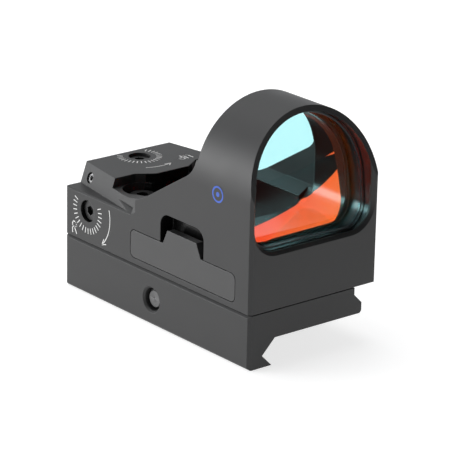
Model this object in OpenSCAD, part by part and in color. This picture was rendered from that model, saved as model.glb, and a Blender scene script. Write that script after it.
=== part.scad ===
// Open reflex sight ("red dot finder") on a clamp for a 21.2 mm dovetail rail.
// Millimetres. +X right when facing the lens, +Y from the lens to the rear, +Z up.
// Origin: centre of the face that rests on top of the rail.

/* [Body] */
// Width of the housing and of the mount
body_w = 27; // [26.6:0.1:27.4]
// Length from the front face to the rear face
body_l = 50; // [49.8:0.1:50.4]
// Height of the joint between mount and housing above the rail
seam_z = 4.9; // [4.8:0.05:5.0]
// Height of the rear deck above the rail
deck_z = 17.1; // [17.0:0.05:17.3]
// Height of the narrow shoulder beside the deck
shoulder_z = 13.5; // [13.3:0.1:13.7]

/* [Hood] */
// Height of the centre of the hood's round top
hood_z = 23.4; // [23.2:0.1:23.8]
// Length of the hood from front to rear
hood_l = 15; // [14.8:0.1:15.4]
// Angle at which the front leans back above the centre of the round top
hood_lean = 16; // [14:0.5:17]
// Wall of the hood around the lens
hood_wall = 1.0; // [0.9:0.05:1.1]
// Height of the lower edge of the window
window_z = 14.7; // [14.6:0.05:14.9]
// Radius of the window's lower corners
window_r = 4.5; // [4:0.1:5]

/* [Lens] */
// Angle at which the lens leans back, so that it throws the dot's light straight back
lens_tilt = 8.5; // [8:0.5:9]
// Radius of the outer glass faces
glass_r = 80; // [78:1:90]
// Radius of the mirror coat between the two elements
mirror_r = 68; // [66:1:70]

/* [Adjusters] */
// Distance of the elevation screw from the rear face
elevation_back = 3.2; // [3.2:0.1:3.3]
// Distance of the windage screw from the rear face
windage_back = 6.2; // [6.1:0.1:6.3]
// Height of the windage screw above the rail
windage_z = 10.5; // [10.4:0.1:10.6]
// Radius of an adjuster's head
head_r = 1.9; // [1.85:0.01:1.95]

/* [Battery tray] */
// Length of the tray's door along the side wall
door_l = 27.6; // [27.4:0.1:27.8]
// Height of the door without its tab
door_h = 4.8; // [4.7:0.05:4.85]
// Distance of the door's front end from the front face
door_front = 3.95; // [3.9:0.05:4.1]
// Diameter of the coin cell
cell_d = 20; // [19.9:0.05:20]
// Thickness of the coin cell
cell_h = 3.2; // [3.1:0.05:3.2]

/* [Rail clamp] */
// Width across the rail's flanks
rail_w = 21.2; // [21.1:0.05:21.3]
// Depth of the jaws below the rail's top
jaw_z = 4.7; // [4.6:0.05:4.8]
// Length of the loose jaw
jaw_l = 22; // [18:1:26]
// Radius of the clamp screw
screw_r = 1.95; // [1.93:0.01:1.95]
// Distance of the clamp screw from the front face
screw_front = 25.8; // [25.5:0.1:26]

/* [Hidden] */
$fn = 96;

half_w = body_w / 2;
front_y = -body_l / 2;
rear_y = body_l / 2;
eps = 0.01;                                       // joined solids overlap by this much
past = 1;                                         // a cutter reaches this far past the face it opens
far = 60;                                         // longer than the whole sight
running = 0.05;                                   // radial clearance of a shaft that turns
snug = 0.02;                                      // radial clearance of a threaded piece in its hole
strip_t = 0.2;                                    // thickness of a battery contact

// housing
corner_r = 0.35;                                  // rear vertical corners
corner_cut = 0.55;                                // chamfer on the front left vertical corner
right_cut = 0.15;                                 // the front right corner is only broken
hood_rear_y = front_y + hood_l;
hood_top = hood_z + half_w;
lean_z = hood_z + 0.2;                            // the front leans back from here up
deck_front_y = rear_y - 10.5;
tongue_y = deck_front_y - 2;                      // front of the block that holds the light source
tongue_half = 3.5;
tongue_root = 6.6;
lip_z = 15.5;                                     // lowest edge of the side walls
slope_y = hood_rear_y + 10.4;                     // one point on the sloped wall top
slope_z = 18.9;
slope_tan = 0.61;
trough_half = 10.2;
trough_z = 12;
scoop_half = 4.6;                                 // half width of the channel to the light source
facet_y = 5.5;                                    // front end of the slanted deck side
facet_x = 10.4;                                   // half width at the shoulder, at the rear face
facet_lean = 19.6;                                // lean of the slanted side from upright
facet_plan = 9.5;                                 // its turn from the body's length, seen from above

// lens, in its own tilted frame: y = 0 is the rim of the front surface
lens_y = front_y + 3.1;
lens_gap = 0.1;                                   // glue line around the glass
lens_rim_r = half_w - hood_wall;
front_sag = lens_rim_r * lens_rim_r / (2 * glass_r);
mirror_sag = lens_rim_r * lens_rim_r / (2 * mirror_r);
front_rim = 1.4;
rear_rim = 3.0;
shoulder_rim = 3.4;
shoulder_in = 0.95;                               // step behind the glass, all round the window
shoulder_t = 1.1;                                 // the tube is wide again behind that step
seal_front = 3.18;

// battery bay
door_y0 = front_y + door_front;
door_y1 = door_y0 + door_l;
door_z0 = seam_z + 1.1;
door_z1 = door_z0 + door_h;
door_t = 1.4;
door_gap = 0.15;
door_corner = 1;
tab_h = 2.5;
tab_foot = 10;
tab_top = 7.6;
tab_y = door_y0 + 13.85;
cell_y = door_y0 + 13.8;
cell_z = door_z0 + 0.9;
slot_half = cell_d / 2 + 0.85;
slot_x1 = 11.4;
slot_z0 = cell_z - 0.6;
slot_z1 = cell_z + cell_h + 0.1;
bay_roof = slot_z1 + 0.75;
tray_half = slot_half - 0.2;
notch_w = 11.5;
notch_top = door_z1 + 5.2;
notch_r = 2.1;
notch_t = 2.7;
bay_x0 = -half_w + 4;                             // the bay is higher from here inwards, for the contact
flex_r = 1.3;                                     // hole for the flexible strip to the board
flex_z = 7.42;

// screws that hold the housing on the mount
mount_screw_x = 7.6;
mount_screw_y = deck_front_y - 3.5;
head_pocket_r = 3.45;
cap_r = 2.4;
shank_r = 1.25;
trough_y = mount_screw_y - 1.8;                   // rear end of the wide trough

// rear cavity and mechanism
cav_half = 8.6;
cav_y0 = rear_y - 8.1;
cav_y1 = rear_y - 1.6;
cav_roof = 14;
board_y0 = rear_y - 11.1;
board_roof = 7.6;
tunnel_half = 2.8;
tunnel_y0 = tongue_y + 1.1;
tunnel_z0 = 10.6;
tunnel_roof = 15.9;
led_z = 14.2;
led_y = tunnel_y0 + 0.9;
beam_r = 1;                                       // hole through which the light leaves
beam_seat_r = 1.5;
beam_seat_t = 0.5;
wind_y = rear_y - windage_back;
elev_y = rear_y - elevation_back;
nut_y0 = cav_y1 - 3;
nut_y1 = cav_y1 - 0.2;
fork_z = 11.7;
slide_z0 = 8;
slide_z1 = 9.8;
post_y = cav_y0 + 1.1;
post_r = 0.7;
deck_lock_r = 1;
deck_lock_at = [-10.25, rear_y - 2.6, 14.93];     // where its axis leaves the slanted side
deck_lock_l = 6;
rear_lock_r = 0.8;
rear_lock_x = -12;
head_hole_r = head_r + running;
wind_seat_x = -10.8;                              // bottom of the hole for the windage head
elev_seat_z = deck_z - 2.1;
stem_r = 1.15;
thread_r = 0.95;
groove_r = 0.8;                                   // neck for the clip that keeps an adjuster in
groove_w = 0.45;
clip_t = 0.35;
rod_r = 0.5;
rod_z = 8.9;
rod_y = elev_y;
rod_end = cav_half + past;
button_y = rear_y - 7;
button_z = 8.3;
button_r = 2.45;
button_proud = 0.45;
button_seat_x = 10.2;                             // the button's flange rests against the wall here
button_flange = 0.65;
switch_x = 8;                                     // front of the switch, without its plunger
plunger = 0.45;

// mount
base_top = seam_z - 0.15;
neck_x = 9.1;
flare_x = 10.75;
flare_z = 1.85;
seat_x = 8.05;
flank_x = rail_w / 2 + 0.1;
flank_z = seat_x - flank_x;
screw_y = front_y + screw_front;
screw_z = -0.2;
jaw_outer = half_w - 0.1;
jaw_face = 11;
washer_t = 0.5;
clamp_head_t = 2.4;
pin_r = 1;
pin_x = 7.5;
pin_ys = [front_y + 1.9, mount_screw_y - 4.2];
pin_half = 1.5;

// An outline drawn in X and Z, made solid between two places along Y
module along_y(y0, y1) {
  translate([0, y1, 0]) rotate([90, 0, 0]) linear_extrude(y1 - y0) children();
}

// An outline drawn in Y and Z, made solid between two places along X
module along_x(x0, x1) {
  translate([x0, 0, 0]) rotate([90, 0, 90]) linear_extrude(x1 - x0) children();
}

// A round bar along X
module rod_x(x0, x1, y, z, r) {
  translate([x0, y, z]) rotate([0, 90, 0]) cylinder(r = r, h = x1 - x0);
}

// A box given by its two opposite corners
module block(a, b) {
  translate(a) cube(b - a);
}

module both_sides() {
  children();
  mirror([1, 0, 0]) children();
}

// A rectangle with round corners, given by two opposite corners
module soft_rect(a, b, r) {
  translate([a[0] + r, a[1]]) square([b[0] - a[0] - 2 * r, b[1] - a[1]]);
  translate([a[0], a[1] + r]) square([b[0] - a[0], b[1] - a[1] - 2 * r]);
  for (x = [a[0] + r, b[0] - r], y = [a[1] + r, b[1] - r]) translate([x, y]) circle(r);
}

// Plan of the housing and the mount: chamfered in front, round behind
module plan_outline() {
  intersection() {
    soft_rect([-half_w, front_y - 2 * corner_r], [half_w, rear_y], corner_r);
    polygon([[-half_w + corner_cut, front_y], [half_w - right_cut, front_y],
             [half_w, front_y + right_cut], [half_w, rear_y],
             [-half_w, rear_y], [-half_w, front_y + corner_cut]]);
  }
}

module arch_outline() {
  translate([0, hood_z]) circle(half_w);
  translate([-half_w, seam_z]) square([body_w, hood_z - seam_z]);
}

// Height of the sloped wall top at a place along the body
function slope_at(y) = slope_z - (y - slope_y) * slope_tan;

// Side view of the housing
module side_outline() {
  lean_y = front_y + (hood_top + 1 - lean_z) * tan(hood_lean);
  lip_y = slope_y + (slope_z - lip_z) / slope_tan;
  lip_r = 16;
  hood_r = 3.5;
  a = atan(slope_tan);
  lip_cut = lip_r * tan(a / 2);
  hood_cut = hood_r * tan((90 - a) / 2);
  root_z = slope_at(hood_rear_y);
  polygon([[front_y, seam_z], [rear_y, seam_z], [rear_y, deck_z], [deck_front_y, deck_z],
           [deck_front_y, lip_z], [lip_y, lip_z], [hood_rear_y, root_z],
           [hood_rear_y, hood_top + 1], [lean_y, hood_top + 1], [front_y, lean_z]]);
  difference() {
    polygon([[lip_y + lip_cut, lip_z], [lip_y - lip_cut * cos(a), lip_z + lip_cut * sin(a)],
             [lip_y - lip_cut * cos(a), lip_z - eps], [lip_y + lip_cut, lip_z - eps]]);
    translate([lip_y + lip_cut, lip_z + lip_r]) circle(lip_r);
  }
  difference() {
    polygon([[hood_rear_y - eps, root_z + hood_cut], [hood_rear_y, root_z + hood_cut],
             [hood_rear_y + hood_cut * cos(a), root_z - hood_cut * sin(a)],
             [hood_rear_y - eps, root_z - hood_cut * sin(a)]]);
    translate([hood_rear_y + hood_r, root_z + hood_cut]) circle(hood_r);
  }
}

// Outline of the window: round above, flat below with round corners
module window_outline(inset = 0) {
  r = lens_rim_r - inset;
  c = window_r - inset;
  intersection() {
    translate([0, hood_z]) circle(r);
    translate([-r, hood_z - 1]) square([2 * r, r + 1]);
  }
  translate([-r, window_z + window_r]) square([2 * r, hood_z - window_z - window_r]);
  translate([-r + c, window_z + inset]) square([2 * (r - c), window_r]);
  for (s = [-1, 1]) translate([s * (r - c), window_z + window_r]) circle(c);
}

// Children stand in the lens's own frame
module lens_frame() {
  translate([0, lens_y, hood_z]) rotate([-lens_tilt, 0, 0]) children();
}

module in_front_of(y) {
  lens_frame() translate([-far / 2, y - far, -far / 2]) cube(far);
}

// The slanted side of the deck, as the material to take away on the left
module facet_cut() {
  reach = 20;
  intersection() {
    translate([-facet_x, rear_y, shoulder_z]) rotate([0, facet_lean, -facet_plan])
      translate([-reach, -far, -reach]) cube([reach, far + reach, 2 * reach]);
    block([-half_w - past, facet_y, shoulder_z], [0, rear_y + past, deck_z + past]);
  }
}

// Children stand where the elevation lock screw leaves the slanted side, with X along the screw
module facet_frame() {
  translate(deck_lock_at) rotate([0, facet_lean, -facet_plan]) children();
}

// The pins that locate the housing on the mount, or their holes
module pins(r, half) {
  for (x = [-pin_x, pin_x], y = pin_ys) translate([x, y, seam_z - half]) cylinder(r = r, h = 2 * half);
}

// Side view of the door, grown all round
module door_outline(grow) {
  tab_half = tab_foot / 2 + grow;
  tab_up = door_z1 + tab_h + grow;
  soft_rect([door_y0 - grow, door_z0 - grow], [door_y1 + grow, door_z1 + grow], door_corner + grow);
  polygon([[tab_y - tab_half, door_z1 - 1], [tab_y + tab_half, door_z1 - 1],
           [tab_y + tab_half, door_z1 + grow], [tab_y + tab_top / 2 + grow, tab_up],
           [tab_y - tab_top / 2 - grow, tab_up], [tab_y - tab_half, door_z1 + grow]]);
}

// Bevel around the front of the window
module window_chamfer() {
  c = 0.55;
  r = lens_rim_r;
  corner = r - window_r;
  y = front_y - eps;
  intersection() {
    translate([0, y, hood_z]) rotate([-90, 0, 0]) cylinder(r1 = r + c, r2 = r, h = c);
    translate([-far / 2, y, hood_z]) cube(far);
  }
  for (s = [-1, 1]) {
    translate([s * corner, y, window_z + window_r]) rotate([-90, 0, 0])
      cylinder(r1 = window_r + c, r2 = window_r, h = c);
  }
  both_sides() translate([0, 0, window_z + window_r]) linear_extrude(hood_z - window_z - window_r)
    polygon([[0, y], [r + c, y], [r, y + c], [0, y + c]]);
  along_x(-corner, corner) polygon([[y, window_z - c], [y, hood_z], [y + c, hood_z], [y + c, window_z]]);
}

// Bevel around the back of the hood's round top, down to where the side walls meet it
module hood_rear_chamfer() {
  c = 0.4;
  lead = 0.1;
  difference() {
    block([-half_w - past, hood_rear_y - c, slope_at(hood_rear_y) + 2],
          [half_w + past, hood_rear_y, hood_top + past]);
    translate([0, hood_rear_y - c - lead, hood_z]) rotate([-90, 0, 0])
      cylinder(r1 = half_w + lead, r2 = half_w - c - lead, h = c + 2 * lead);
  }
}

// Section of the trough between the side walls, wider above the low part of the walls
module trough_outline() {
  fold = lip_z + 0.8;
  up = 17.8;
  wide = 12.6;
  polygon([[-trough_half, trough_z], [trough_half, trough_z], [trough_half, fold], [wide, up],
           [wide, hood_top], [-wide, hood_top], [-wide, up], [-trough_half, fold]]);
}

module housing_body() {
  intersection() {
    along_x(-half_w - past, half_w + past) side_outline();
    along_y(front_y - past, rear_y + past) arch_outline();
    translate([0, 0, seam_z]) linear_extrude(hood_top) plan_outline();
  }
  translate([0, 0, trough_z]) linear_extrude(deck_z - trough_z)
    polygon([[-tongue_root, deck_front_y + past], [-tongue_root, deck_front_y],
             [-tongue_half, tongue_y], [tongue_half, tongue_y],
             [tongue_root, deck_front_y], [tongue_root, deck_front_y + past]]);
}

module window_opening() {
  intersection() {
    along_y(front_y - past, hood_rear_y + past) window_outline();
    in_front_of(shoulder_rim);
  }
  along_y(front_y - past, hood_rear_y + past) window_outline(shoulder_in);
  difference() {
    along_y(front_y - past, hood_rear_y + past) window_outline();
    in_front_of(shoulder_rim + shoulder_t);
  }
  window_chamfer();
}

// Recess for the door, finger notch, slot for the tray and hole for the strip to the board
module battery_bay() {
  notch_z0 = door_z1 - 3;
  along_x(-half_w - past, -half_w + door_t + 0.2) door_outline(door_gap);
  along_x(-half_w - past, -half_w + notch_t)
    soft_rect([tab_y - notch_w / 2, notch_z0], [tab_y + notch_w / 2, notch_top], notch_r);
  block([-half_w + door_t, cell_y - slot_half, slot_z0], [slot_x1, cell_y + slot_half, slot_z1]);
  block([bay_x0, cell_y - slot_half, slot_z0], [slot_x1, cell_y + slot_half, bay_roof]);
  translate([0, cell_y, flex_z]) rotate([-90, 0, 0]) cylinder(r = flex_r, h = board_y0 - cell_y + past);
}

// Space for the board and the mechanism, and the way out for the light
module rear_cavity() {
  block([-cav_half, cav_y0, seam_z - past], [cav_half, cav_y1, cav_roof]);
  block([-cav_half, board_y0, seam_z - past], [cav_half, cav_y1, board_roof]);
  block([-tunnel_half, tunnel_y0, tunnel_z0], [tunnel_half, cav_y0 + past, tunnel_roof]);
  translate([0, tongue_y - past, led_z]) rotate([-90, 0, 0]) {
    cylinder(r = beam_r, h = tunnel_y0 - tongue_y + 2 * past);
    cylinder(r = beam_seat_r, h = past + beam_seat_t);
  }
}

module adjuster_holes() {
  rod_x(-half_w - past, wind_seat_x, wind_y, windage_z, head_hole_r);
  rod_x(wind_seat_x - past, past - cav_half, wind_y, windage_z, stem_r + running);
  rod_x(-rod_end, rod_end, rod_y, rod_z, rod_r + snug);
  translate([0, elev_y, elev_seat_z]) cylinder(r = head_hole_r, h = deck_z);
  translate([0, elev_y, cav_roof - past]) cylinder(r = stem_r + running, h = deck_z - cav_roof);
  facet_frame() rod_x(-past, deck_lock_l + past, 0, 0, deck_lock_r);
  translate([rear_lock_x, rear_y + past, windage_z]) rotate([90, 0, 0])
    cylinder(r = rear_lock_r, h = windage_back);
}

module button_hole() {
  rod_x(cav_half - past, button_seat_x, button_y, button_z, button_r + button_flange + running);
  rod_x(cav_half, half_w + past, button_y, button_z, button_r + running);
}

// Trough between the walls, channel to the light source, and pockets for the mounting screws
module pocket() {
  along_y(hood_rear_y, trough_y) trough_outline();
  block([-mount_screw_x, hood_rear_y, trough_z], [mount_screw_x, mount_screw_y, hood_top]);
  block([-scoop_half, hood_rear_y, trough_z], [scoop_half, tongue_y, hood_top]);
  both_sides() translate([mount_screw_x, mount_screw_y, 0]) {
    translate([0, 0, trough_z]) cylinder(r = head_pocket_r, h = hood_top);
    cylinder(r = shank_r + 0.1, h = trough_z + past);
  }
}

module housing() color([0.30, 0.30, 0.30]) {
  shoulder_cut = 0.25;
  difference() {
    housing_body();
    both_sides() {
      facet_cut();
      along_y(facet_y + past, rear_y + past)
        polygon([[-half_w - past, shoulder_z + past], [-half_w - past, shoulder_z - shoulder_cut - past],
                 [-half_w + shoulder_cut + past, shoulder_z + past]]);
    }
    window_opening();
    hood_rear_chamfer();
    battery_bay();
    rear_cavity();
    adjuster_holes();
    button_hole();
    pins(pin_r + snug, pin_half + 0.1);
    pocket();
  }
}

// ---- mount ----

module mount_outline() {
  top_cut = 0.5;
  foot_cut = 0.4;
  edge = 0.4;
  polygon([[-half_w, base_top - top_cut], [-half_w + top_cut, base_top], [neck_x, base_top],
           [neck_x, flare_z + flare_x - neck_x], [flare_x, flare_z], [flare_x, edge],
           [flare_x - edge, 0], [-seat_x, 0], [-flank_x, flank_z],
           [-flank_x + jaw_z + flank_z, -jaw_z], [-half_w + foot_cut, -jaw_z],
           [-half_w, -jaw_z + foot_cut]]);
}

module mount_base() color([0.27, 0.27, 0.27]) {
  mouth = 0.35;
  hole_r = screw_r + running;
  difference() {
    intersection() {
      along_y(front_y, rear_y) mount_outline();
      translate([0, 0, -jaw_z - past]) linear_extrude(far) plan_outline();
    }
    rod_x(-half_w - past, half_w, screw_y, screw_z, hole_r);
    translate([-half_w - eps, screw_y, screw_z]) rotate([0, 90, 0])
      cylinder(r1 = hole_r + mouth, r2 = hole_r, h = mouth);
    both_sides() translate([mount_screw_x, mount_screw_y, -past]) cylinder(r = shank_r, h = far);
    pins(pin_r + snug, pin_half + 0.1);
  }
}

module base_gasket() color([0.06, 0.06, 0.06]) {
  inset = 0.45;
  translate([0, 0, base_top]) linear_extrude(seam_z - base_top) difference() {
    soft_rect([-half_w + inset, front_y + inset], [neck_x - inset / 2, rear_y - inset], 1);
    for (x = [-mount_screw_x, mount_screw_x]) translate([x, mount_screw_y]) circle(shank_r + running);
    for (x = [-pin_x, pin_x], y = pin_ys) translate([x, y]) circle(pin_r + running);
  }
}

module locating_pins() color("silver") pins(pin_r, pin_half);

// A socket-head screw standing on its tip, its head's seat at z = 0
module cap_screw(head_r, head_h, r, length, key) {
  c = 0.25;
  key_depth = 1.3;
  difference() {
    union() {
      cylinder(r = head_r, h = head_h - c);
      translate([0, 0, head_h - c]) cylinder(r1 = head_r, r2 = head_r - c, h = c);
      translate([0, 0, -length]) cylinder(r = r, h = length + eps);
    }
    translate([0, 0, head_h - key_depth]) cylinder(r = key, h = key_depth + past, $fn = 6);
  }
}

module mounting_screws() color([0.12, 0.12, 0.12]) {
  head_h = 2.6;
  key = 1.15;
  tip_z = 0.6;
  both_sides() translate([mount_screw_x, mount_screw_y, trough_z])
    cap_screw(cap_r, head_h, shank_r - snug, trough_z - tip_z, key);
}

module clamp_jaw() color([0.25, 0.25, 0.25]) {
  top = base_top - 0.3;
  edge = 0.5;
  hook_x = neck_x + 0.25;
  hook_sum = flare_x + flare_z + 0.07;
  flank_sum = flank_x - flank_z;
  difference() {
    along_y(screw_y - jaw_l / 2, screw_y + jaw_l / 2)
      polygon([[hook_x, top], [hook_x, hook_sum - hook_x], [jaw_face, hook_sum - jaw_face],
               [jaw_face, jaw_face - flank_sum], [flank_sum - jaw_z, -jaw_z],
               [jaw_outer - edge, -jaw_z], [jaw_outer, -jaw_z + edge],
               [jaw_outer, top - edge], [jaw_outer - edge, top]]);
    rod_x(neck_x, half_w + past, screw_y, screw_z, screw_r + running);
  }
}

module clamp_washer() color("silver") {
  washer_r = 3.8;
  difference() {
    rod_x(jaw_outer, jaw_outer + washer_t, screw_y, screw_z, washer_r);
    rod_x(jaw_outer - past, jaw_outer + past, screw_y, screw_z, screw_r + running);
  }
}

module clamp_screw() color([0.75, 0.75, 0.76]) {
  x0 = -half_w + 0.75;
  seat = jaw_outer + washer_t;
  taper = 0.55;
  slot_w = 1.2;
  hex_r = 4;                                      // centre to corner
  round_r = 3.5;                                  // of the top face, left by the turned bevel
  bevel = 1.8;                                    // its radius grows by this much for each unit of depth
  difference() {
    union() {
      rod_x(x0 + taper, seat + eps, screw_y, screw_z, screw_r);
      translate([x0, screw_y, screw_z]) rotate([0, 90, 0])
        cylinder(r1 = screw_r - taper, r2 = screw_r, h = taper + eps);
      translate([seat, screw_y, screw_z]) rotate([0, 90, 0]) rotate([0, 0, 30]) intersection() {
        cylinder(r = hex_r, h = clamp_head_t, $fn = 6);
        cylinder(r1 = round_r + bevel * clamp_head_t, r2 = round_r, h = clamp_head_t);
      }
    }
    block([seat + clamp_head_t - slot_w, screw_y - slot_w / 2, screw_z - hex_r],
          [seat + clamp_head_t + past, screw_y + slot_w / 2, screw_z + hex_r]);
  }
}

// ---- lens ----

// Everything behind a round glass face whose rim stands at y
module behind_glass(y, sag, r) {
  lens_frame() translate([0, y - sag + r, 0]) sphere(r = r, $fn = 200);
}

module lens_front() color([0.35, 0.75, 0.80, 0.5]) {
  difference() {
    intersection() {
      along_y(front_y, hood_rear_y) window_outline(lens_gap);
      behind_glass(0, front_sag, glass_r);
    }
    behind_glass(front_rim, mirror_sag, mirror_r);
  }
}

module lens_rear() color([0.85, 0.45, 0.25, 0.5]) {
  difference() {
    intersection() {
      along_y(front_y, hood_rear_y) window_outline(lens_gap);
      behind_glass(front_rim, mirror_sag, mirror_r);
    }
    behind_glass(rear_rim, front_sag, glass_r);
  }
}

module lens_seal() color([0.05, 0.05, 0.05]) {
  difference() {
    intersection() {
      along_y(front_y, hood_rear_y) window_outline(lens_gap);
      in_front_of(shoulder_rim);
    }
    in_front_of(seal_front);
    along_y(front_y, hood_rear_y) window_outline(shoulder_in - lens_gap);
  }
}

// ---- battery tray ----

module battery_tray() color([0.36, 0.36, 0.36]) {
  tray_x = slot_x1 - 0.5;
  contact_half = 2.4;
  contact_x = cell_d / 2 - 3;
  ledge = 1.5;
  difference() {
    union() {
      along_x(-half_w, -half_w + door_t) door_outline(0);
      block([-half_w + door_t - eps, cell_y - tray_half, slot_z0 + 0.1],
            [tray_x, cell_y + tray_half, slot_z1 - 0.2]);
    }
    translate([0, cell_y, cell_z]) cylinder(r = cell_d / 2 + 0.1, h = 2 * cell_h);
    translate([0, cell_y, slot_z0]) cylinder(r = cell_d / 2 - ledge, h = 2 * cell_h);
    block([contact_x, cell_y - contact_half, cell_z - 0.1],
          [tray_x + past, cell_y + contact_half, bay_roof]);
  }
}

module tray_seal() color([0.05, 0.05, 0.05]) {
  seal_t = 0.18;
  inset = 0.15;
  hole_half = slot_half + 0.1;
  difference() {
    along_x(-half_w + door_t, -half_w + door_t + seal_t)
      soft_rect([door_y0 + inset, door_z0 + inset], [door_y1 - inset, door_z1 - inset], door_corner - inset);
    block([-half_w, cell_y - hole_half, slot_z0 - 0.05], [0, cell_y + hole_half, slot_z1 + 0.05]);
  }
}

module coin_cell() color([0.80, 0.80, 0.78]) {
  step = 0.3;
  cap = 1.2;
  translate([0, cell_y, cell_z]) {
    cylinder(r = cell_d / 2, h = cell_h - step);
    cylinder(r = cell_d / 2 - cap, h = cell_h);
  }
}

// Bent strip against the end of the slot, which presses on the rim of the cell
module contact_positive() color([0.80, 0.62, 0.30]) {
  x = cell_d / 2 + 0.05;
  wall = slot_x1 - 0.05;
  back = wall - strip_t;
  width = 2.2;
  translate([0, cell_y, cell_z + 0.4]) linear_extrude(width)
    polygon([[wall, -2], [wall, 2], [back, 2], [back, 1.2], [x, 0.3], [x, -0.3],
             [x + strip_t, -0.3], [x + strip_t, 0.2], [back, 0.9], [back, -2]]);
}

// Bent strip under the roof of the slot, which presses on the middle of the cell
module contact_negative() color([0.80, 0.62, 0.30]) {
  roof = bay_roof - 0.05;
  face = roof - strip_t;
  low = cell_z + cell_h + 0.05;
  half = 1.2;
  along_y(cell_y - half, cell_y + half)
    polygon([[-3, roof], [8, roof], [8, face], [4.5, face], [2.9, low], [2.3, low],
             [2.3, low + strip_t], [2.7, low + strip_t], [3.9, face], [-3, face]]);
}

module battery_flex() color([0.72, 0.45, 0.15]) {
  half = 0.9;
  flex_t = 0.13;
  socket_y = board_y0 + 1.7;
  block([-half, cell_y + slot_half + 0.05, flex_z], [half, socket_y, flex_z + flex_t]);
}

// ---- electronics ----

// Board with a socket for the strip from the battery, the driver chip and a row of small parts
module circuit_board() color([0.10, 0.35, 0.20]) {
  edge = 0.3;
  z = seam_z + 0.4;
  top = z + 1;
  pitch = 1.3;
  block([-cav_half + edge, board_y0 + edge, z], [cav_half - edge, cav_y1 - edge, top]);
  block([-1.6, board_y0 + 0.4, top - eps], [1.6, board_y0 + 1.9, flex_z - snug]);
  block([-6.2, cav_y0 + 0.6, top - eps], [-2.4, cav_y0 + 4.4, top + 0.9]);
  for (i = [0 : 3])
    block([-0.6 + pitch * i, cav_y0 + 3.4, top - eps], [0.2 + pitch * i, cav_y0 + 5, top + 0.5]);
}

module button_switch() color([0.15, 0.15, 0.16]) {
  z = seam_z + 1.4;
  block([switch_x - 2, button_y - 1, z], [switch_x, button_y + 1, button_z + 1.3]);
  rod_x(switch_x - eps, switch_x + plunger, button_y, button_z, 0.7);
}

// Flanged button with a domed face; its stem stands off the switch by just over its travel
module power_button() color([0.10, 0.10, 0.10]) {
  dome = 9;
  flange_x1 = button_seat_x - 0.1;
  flange_x0 = flange_x1 - 0.8;
  stem_x = switch_x + plunger + 0.4;
  intersection() {
    union() {
      rod_x(flange_x0 + eps, half_w + button_proud, button_y, button_z, button_r);
      rod_x(flange_x0, flange_x1, button_y, button_z, button_r + button_flange);
      rod_x(stem_x, flange_x1, button_y, button_z, 1);
    }
    translate([half_w + button_proud - dome, button_y, button_z]) sphere(r = dome, $fn = 200);
  }
}

// ---- adjusters ----

// Head, stem, clip groove and thread of an adjuster, head's face at z = 0, pointing down
module adjuster(head_h, stem_end, groove_end, thread_end) {
  c = 0.2;
  key = 0.9;
  difference() {
    union() {
      translate([0, 0, -head_h]) cylinder(r = head_r, h = head_h - c);
      translate([0, 0, -c - eps]) cylinder(r1 = head_r, r2 = head_r - c, h = c + eps);
      translate([0, 0, -stem_end]) cylinder(r = stem_r, h = stem_end - head_h + eps);
      translate([0, 0, -groove_end]) cylinder(r = groove_r, h = groove_end - stem_end + eps);
      translate([0, 0, -thread_end]) cylinder(r = thread_r, h = thread_end - groove_end + eps);
    }
    translate([0, 0, -key]) cylinder(r = key, h = key + past, $fn = 6);
  }
}

module washer_ring(r0, r1, h) {
  difference() {
    cylinder(r = r1, h = h);
    translate([0, 0, -past]) cylinder(r = r0, h = h + 2 * past);
  }
}

module on_windage_axis(x) {
  translate([x, wind_y, windage_z]) rotate([0, -90, 0]) children();
}

module windage_screw() color([0.42, 0.42, 0.43]) {
  face = half_w - 0.6;
  stem_end = face - cav_half;
  on_windage_axis(-face) adjuster(1.5, stem_end, stem_end + groove_w, face - 4.3);
}

module windage_clip() color("silver") {
  on_windage_axis(-cav_half + groove_w - running) washer_ring(groove_r + snug, 1.9, clip_t);
}

module elevation_screw() color([0.42, 0.42, 0.43]) {
  face = deck_z - 0.5;
  stem_end = face - cav_roof;
  translate([0, elev_y, face]) adjuster(1.2, stem_end, stem_end + groove_w, face - fork_z + 0.95);
}

module elevation_clip() color("silver") {
  translate([0, elev_y, cav_roof - groove_w + running]) washer_ring(groove_r + snug, 1.5, clip_t);
}

// Rubber rings under the heads of the adjusters
module adjuster_seals() color([0.05, 0.05, 0.05]) {
  on_windage_axis(wind_seat_x - running) washer_ring(stem_r + snug, head_r, 0.45);
  translate([0, elev_y, elev_seat_z + snug]) washer_ring(stem_r + snug, head_r, 0.36);
}

// Cross slide: a nut on the windage screw, a bar on the guide rod and a post for the emitter holder
module windage_slide() color([0.70, 0.58, 0.30]) {
  nut_x0 = -7.2;
  nut_x1 = -4.2;
  slide_x1 = 5.2;
  nut_top = 12.2;
  difference() {
    union() {
      block([nut_x0, cav_y0 + 0.2, slide_z0], [slide_x1, cav_y1 - 0.3, slide_z1]);
      block([nut_x0, cav_y0 + 0.2, slide_z1 - eps], [nut_x1, nut_y0 - 0.2, nut_top]);
      translate([0, post_y, slide_z1 - eps]) cylinder(r = post_r, h = 3.5);
    }
    rod_x(nut_x0 - past, nut_x1 + past, wind_y, windage_z, thread_r + running);
    rod_x(nut_x0 - past, slide_x1 + past, rod_y, rod_z, rod_r + running);
  }
}

module windage_guide_rod() color("silver") {
  rod_x(running - rod_end, rod_end - running, rod_y, rod_z, rod_r);
}

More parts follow.
